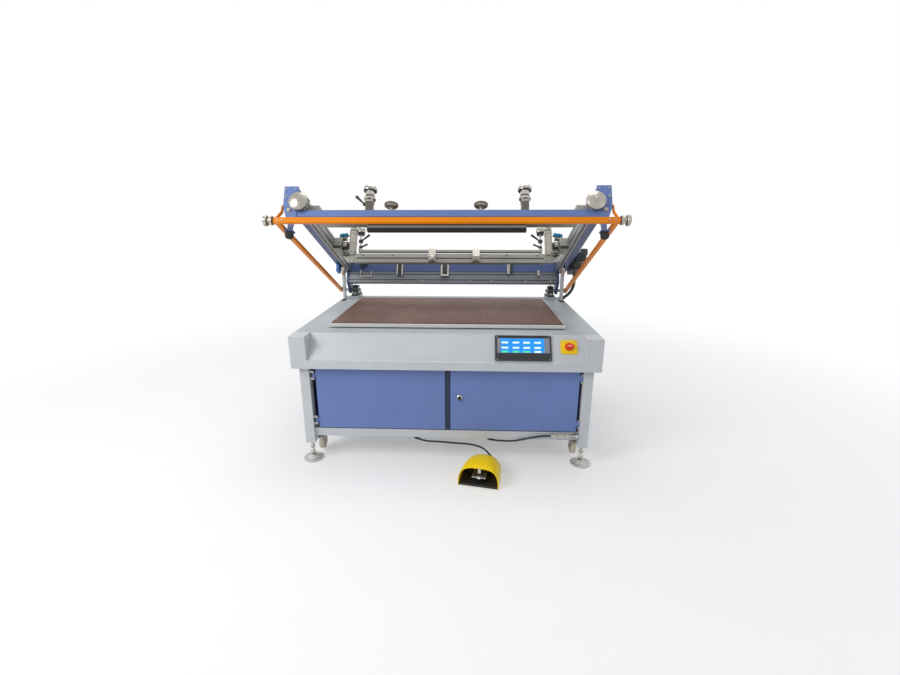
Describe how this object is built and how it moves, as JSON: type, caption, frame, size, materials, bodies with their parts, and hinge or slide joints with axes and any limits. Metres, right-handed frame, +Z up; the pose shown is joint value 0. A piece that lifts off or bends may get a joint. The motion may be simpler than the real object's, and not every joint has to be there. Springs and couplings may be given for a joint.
{
  "type": "semi-automatic screen printing press",
  "caption": "Large-format clamshell screen printing press: flat bed on a cabinet table, hinged head with travelling squeegee carriage, orange safety bar, foot pedal.",
  "frame": {"origin": "centre of the bounding box's footprint, on the floor under the feet, measured without the two floor cables and the motor's conduit", "axes": "+X to the operator's right along the press's width, +Y from the operator to the head hinge at the back, +Z up"},
  "size_m": [2.1364, 1.6908, 1.7585],
  "materials": {
    "grey_paint": "satin",
    "blue_paint": "satin",
    "orange_paint": "gloss",
    "yellow_shell": "satin",
    "red_knob": "gloss",
    "phenolic_sheet": "satin",
    "bed_aluminium": "milled",
    "rail_aluminium": "anodised",
    "chrome": "polished",
    "steel": "zinc plated",
    "black_plastic": "matt",
    "black_gloss": "gloss",
    "black_iron": "painted",
    "motor_paint": "satin",
    "rubber": "matt",
    "wheel_nylon": "matt"
  },
  "bodies": {
    "table": {"frame_legs": "grey_paint", "frame_rails": "grey_paint", "cabinet_panels": "grey_paint", "deck": "grey_paint", "console": "grey_paint", "bed_plate": "bed_aluminium", "vacuum_sheet": "phenolic_sheet", "steel_brackets": "steel", "hmi_panel": "black_gloss", "switch_plate": "yellow_shell", "pillow_blocks": "black_iron", "pedal_base": "black_plastic", "pedal_guard": "yellow_shell", "cable_fittings": "steel", "pedal_cable": "rubber", "supply_cable": "rubber", "motor_conduit": "black_plastic"},
    "head": {"head_arms": "blue_paint", "bumpers": "rubber", "head_crossbars": "blue_paint", "arm_rails": "rail_aluminium", "hinge_lugs": "blue_paint", "drive_motor": "motor_paint"},
    "safety_bar": {"safety_bar": "orange_paint"},
    "lift_cylinder_left": {"lift_cylinder_left": "steel"},
    "lift_rod_left": {"lift_rod_left": "grey_paint"},
    "lift_cylinder_right": {"lift_cylinder_right": "steel"},
    "lift_rod_right": {"lift_rod_right": "grey_paint"},
    "clamp_carrier": {"clamp_carrier": "rail_aluminium"},
    "clamp_bar": {"clamp_bar": "rail_aluminium"},
    "squeegee_carriage": {"squeegee_carriage": "rail_aluminium"},
    "squeegee_bar": {"squeegee_bar": "rail_aluminium"},
    "handwheel_left": {"handwheel_left": "chrome"},
    "safety_knob_left": {"safety_knob_left": "chrome"},
    "height_cap_left": {"height_cap_left": "chrome"},
    "clamp_knob_left": {"clamp_knob_left": "black_plastic"},
    "stroke_knob_left": {"stroke_knob_left": "chrome"},
    "ratchet_lever_left": {"ratchet_lever_left": "black_plastic"},
    "handwheel_right": {"handwheel_right": "chrome"},
    "safety_knob_right": {"safety_knob_right": "chrome"},
    "height_cap_right": {"height_cap_right": "chrome"},
    "clamp_knob_right": {"clamp_knob_right": "black_plastic"},
    "stroke_knob_right": {"stroke_knob_right": "chrome"},
    "ratchet_lever_right": {"ratchet_lever_right": "black_plastic"},
    "lock_lever": {"lock_lever": "black_plastic"},
    "foot_front_left": {"foot_front_left": "steel"},
    "foot_front_right": {"foot_front_right": "steel"},
    "foot_rear_left": {"foot_rear_left": "steel"},
    "foot_rear_right": {"foot_rear_right": "steel"},
    "castor_fork_left": {"castor_fork_left": "steel"},
    "castor_wheel_front_left": {"castor_wheel_front_left": "wheel_nylon"},
    "castor_wheel_rear_left": {"castor_wheel_rear_left": "wheel_nylon"},
    "castor_fork_right": {"castor_fork_right": "steel"},
    "castor_wheel_front_right": {"castor_wheel_front_right": "wheel_nylon"},
    "castor_wheel_rear_right": {"castor_wheel_rear_right": "wheel_nylon"},
    "door_left": {"door_left": "blue_paint"},
    "door_right": {"door_right": "blue_paint"},
    "door_lock": {"door_lock": "steel"},
    "switch_knob": {"switch_knob": "red_knob"},
    "pedal_treadle": {"pedal_treadle": "black_plastic"}
  },
  "joints": [
    {"name": "head_tilt", "type": "hinge", "parent": "table", "child": "head", "pos_m": [-0.02585, 0.69267, 0.935], "axis": [1, 0, 0], "range_deg": [0, 26.5]},
    {"name": "safety_bar_lift", "type": "hinge", "parent": "head", "child": "safety_bar", "pos_m": [-0.02585, 0.69267, 0.935], "axis": [-1, 0, 0], "range_deg": [0, 0.6]},
    {"name": "lift_cylinder_left_pivot", "type": "hinge", "parent": "table", "child": "lift_cylinder_left", "pos_m": [-0.94985, 0.58767, 0.29], "axis": [1, 0, 0], "range_deg": [0, 5.8]},
    {"name": "lift_rod_left_slide", "type": "slide", "parent": "lift_cylinder_left", "child": "lift_rod_left", "axis": [0, -0.0357, -0.9994], "range_m": [0, 0.051]},
    {"name": "lift_cylinder_right_pivot", "type": "hinge", "parent": "table", "child": "lift_cylinder_right", "pos_m": [0.89815, 0.58767, 0.29], "axis": [1, 0, 0], "range_deg": [0, 5.8]},
    {"name": "lift_rod_right_slide", "type": "slide", "parent": "lift_cylinder_right", "child": "lift_rod_right", "axis": [0, -0.0357, -0.9994], "range_m": [0, 0.051]},
    {"name": "clamp_travel", "type": "slide", "parent": "head", "child": "clamp_carrier", "axis": [0, -0.8949, 0.4462], "range_m": [-0.06, 0.065]},
    {"name": "clamp_press", "type": "slide", "parent": "clamp_carrier", "child": "clamp_bar", "axis": [0, -0.4462, -0.8949], "range_m": [0, 0.03]},
    {"name": "squeegee_travel", "type": "slide", "parent": "head", "child": "squeegee_carriage", "axis": [0, -0.8949, 0.4462], "range_m": [-0.42, 0.35]},
    {"name": "squeegee_stroke", "type": "slide", "parent": "squeegee_carriage", "child": "squeegee_bar", "axis": [0, -0.4462, -0.8949], "range_m": [0, 0.015]},
    {"name": "handwheel_left_turn", "type": "hinge", "parent": "head", "child": "handwheel_left", "pos_m": [-0.90885, -0.38637, 1.64842], "axis": [0, -0.8949, 0.4462], "continuous": true},
    {"name": "safety_knob_left_turn", "type": "hinge", "parent": "safety_bar", "child": "safety_knob_left", "pos_m": [-1.01585, -0.54278, 1.54539], "axis": [-1, 0, 0], "continuous": true},
    {"name": "height_cap_left_turn", "type": "hinge", "parent": "clamp_carrier", "child": "height_cap_left", "pos_m": [-0.51685, -0.20661, 1.6616], "axis": [0, 0.4462, 0.8949], "continuous": true},
    {"name": "clamp_knob_left_turn", "type": "hinge", "parent": "clamp_carrier", "child": "clamp_knob_left", "pos_m": [-0.37785, -0.25524, 1.56405], "axis": [0, 0.4462, 0.8949], "continuous": true},
    {"name": "stroke_knob_left_turn", "type": "hinge", "parent": "squeegee_bar", "child": "stroke_knob_left", "pos_m": [-0.69385, 0.26055, 1.43315], "axis": [0, 0.4462, 0.8949], "continuous": true},
    {"name": "ratchet_lever_left_swing", "type": "hinge", "parent": "squeegee_bar", "child": "ratchet_lever_left", "pos_m": [-0.69385, 0.23288, 1.37767], "axis": [0, 0.4462, 0.8949], "range_deg": [-35, 35]},
    {"name": "handwheel_right_turn", "type": "hinge", "parent": "head", "child": "handwheel_right", "pos_m": [0.85715, -0.38637, 1.64842], "axis": [0, -0.8949, 0.4462], "continuous": true},
    {"name": "safety_knob_right_turn", "type": "hinge", "parent": "safety_bar", "child": "safety_knob_right", "pos_m": [0.96415, -0.54278, 1.54539], "axis": [1, 0, 0], "continuous": true},
    {"name": "height_cap_right_turn", "type": "hinge", "parent": "clamp_carrier", "child": "height_cap_right", "pos_m": [0.46515, -0.20661, 1.6616], "axis": [0, 0.4462, 0.8949], "continuous": true},
    {"name": "clamp_knob_right_turn", "type": "hinge", "parent": "clamp_carrier", "child": "clamp_knob_right", "pos_m": [0.19015, -0.25524, 1.56405], "axis": [0, 0.4462, 0.8949], "continuous": true},
    {"name": "stroke_knob_right_turn", "type": "hinge", "parent": "squeegee_bar", "child": "stroke_knob_right", "pos_m": [0.64215, 0.26055, 1.43315], "axis": [0, 0.4462, 0.8949], "continuous": true},
    {"name": "ratchet_lever_right_swing", "type": "hinge", "parent": "squeegee_bar", "child": "ratchet_lever_right", "pos_m": [0.64215, 0.23288, 1.37767], "axis": [0, 0.4462, 0.8949], "range_deg": [-35, 35]},
    {"name": "lock_lever_swing", "type": "hinge", "parent": "clamp_carrier", "child": "lock_lever", "pos_m": [-0.54085, -0.21731, 1.64012], "axis": [-1, 0, 0], "range_deg": [-30, 30]},
    {"name": "foot_front_left_level", "type": "slide", "parent": "table", "child": "foot_front_left", "axis": [0, 0, -1], "range_m": [0, 0.03]},
    {"name": "foot_front_right_level", "type": "slide", "parent": "table", "child": "foot_front_right", "axis": [0, 0, -1], "range_m": [0, 0.03]},
    {"name": "foot_rear_left_level", "type": "slide", "parent": "table", "child": "foot_rear_left", "axis": [0, 0, -1], "range_m": [0, 0.03]},
    {"name": "foot_rear_right_level", "type": "slide", "parent": "table", "child": "foot_rear_right", "axis": [0, 0, -1], "range_m": [0, 0.03]},
    {"name": "castor_left_swivel", "type": "hinge", "parent": "table", "child": "castor_fork_left", "pos_m": [-0.88085, -0.43433, 0.16], "axis": [0, 0, 1], "continuous": true},
    {"name": "castor_wheel_front_left_roll", "type": "hinge", "parent": "castor_fork_left", "child": "castor_wheel_front_left", "pos_m": [-0.88085, -0.40633, 0.064], "axis": [1, 0, 0], "continuous": true},
    {"name": "castor_wheel_rear_left_roll", "type": "hinge", "parent": "table", "child": "castor_wheel_rear_left", "pos_m": [-0.88085, 0.63767, 0.064], "axis": [1, 0, 0], "continuous": true},
    {"name": "castor_right_swivel", "type": "hinge", "parent": "table", "child": "castor_fork_right", "pos_m": [0.82915, -0.43433, 0.16], "axis": [0, 0, 1], "continuous": true},
    {"name": "castor_wheel_front_right_roll", "type": "hinge", "parent": "castor_fork_right", "child": "castor_wheel_front_right", "pos_m": [0.82915, -0.40633, 0.064], "axis": [1, 0, 0], "continuous": true},
    {"name": "castor_wheel_rear_right_roll", "type": "hinge", "parent": "table", "child": "castor_wheel_rear_right", "pos_m": [0.82915, 0.63767, 0.064], "axis": [1, 0, 0], "continuous": true},
    {"name": "door_left_swing", "type": "hinge", "parent": "table", "child": "door_left", "pos_m": [-0.85785, -0.54733, 0.445], "axis": [0, 0, -1], "range_deg": [0, 105]},
    {"name": "door_right_swing", "type": "hinge", "parent": "table", "child": "door_right", "pos_m": [0.82215, -0.54733, 0.445], "axis": [0, 0, 1], "range_deg": [0, 105]},
    {"name": "door_lock_turn", "type": "hinge", "parent": "door_right", "child": "door_lock", "pos_m": [0.06715, -0.54133, 0.46], "axis": [0, -1, 0], "range_deg": [0, 90]},
    {"name": "main_switch_turn", "type": "hinge", "parent": "table", "child": "switch_knob", "pos_m": [0.73115, -0.5394, 0.80264], "axis": [0, -0.8406, 0.5416], "range_deg": [0, 90]},
    {"name": "treadle_press", "type": "hinge", "parent": "table", "child": "pedal_treadle", "pos_m": [0.2175, -0.64748, 0.046], "axis": [0.9823, -0.1874, 0], "range_deg": [0, 8], "stiffness_Nm_per_rad": 12, "springref_deg": -14.32}
  ],
  "couplings": [
    {"joint": "lift_cylinder_left_pivot", "follows": "head_tilt", "ratio": 0.2168},
    {"joint": "lift_cylinder_right_pivot", "follows": "head_tilt", "ratio": 0.2168},
    {"joint": "lift_rod_left_slide", "follows": "head_tilt", "m_per_rad": 0.10905},
    {"joint": "lift_rod_right_slide", "follows": "head_tilt", "m_per_rad": 0.10905}
  ]
}
